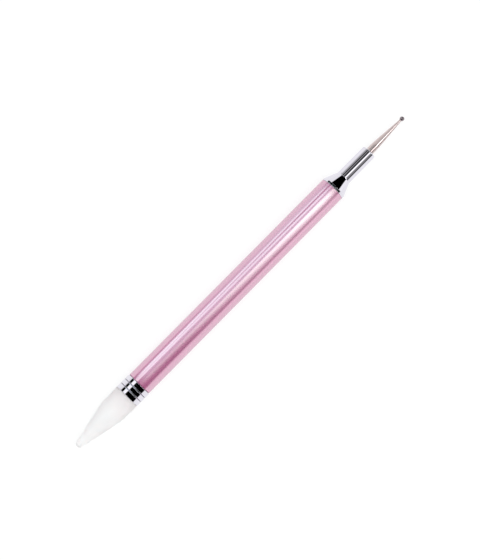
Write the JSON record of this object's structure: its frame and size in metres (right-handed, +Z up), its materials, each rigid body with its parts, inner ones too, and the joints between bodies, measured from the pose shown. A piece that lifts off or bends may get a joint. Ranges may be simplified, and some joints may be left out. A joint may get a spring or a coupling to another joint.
{
  "type": "rhinestone picker",
  "caption": "Double-ended rhinestone picker: a slim satin tube with a screw-on wax nib in a grooved chrome collar, and a ball stylus in a stepped chrome ferrule.",
  "frame": {"origin": "on the surface that the pen lies on, under the middle of its length and under its axis", "axes": "+X along the pen from the wax nib to the ball, +Z up from the surface, +Y across the pen"},
  "size_m": [0.1552, 0.0094, 0.0094],
  "materials": {
    "cast_wax": "satin",
    "plastic_moulding": "satin",
    "chrome_trim": "polished",
    "turned_brass": "satin",
    "anodised_barrel": "satin",
    "stem_steel": "satin",
    "ball_steel": "polished"
  },
  "bodies": {
    "barrel": {"barrel_tube": "anodised_barrel", "threaded_nose": "turned_brass", "ferrule_shell": "chrome_trim", "stem_holder": "plastic_moulding", "dotting_stem": "stem_steel", "dotting_ball": "ball_steel"},
    "head": {"wax_nib": "cast_wax", "wax_core": "plastic_moulding"},
    "collar": {"grip_collar": "chrome_trim"}
  },
  "joints": [
    {"name": "head_travel", "type": "slide", "parent": "barrel", "child": "head", "axis": [-1, 0, 0], "range_m": [0, 0.003]},
    {"name": "collar_turn", "type": "hinge", "parent": "head", "child": "collar", "pos_m": [-0.05143, 0, 0.0047], "axis": [-1, 0, 0], "range_deg": [0, 1440]}
  ],
  "couplings": [
    {"joint": "collar_turn", "follows": "head_travel", "rad_per_m": 8377.6}
  ]
}
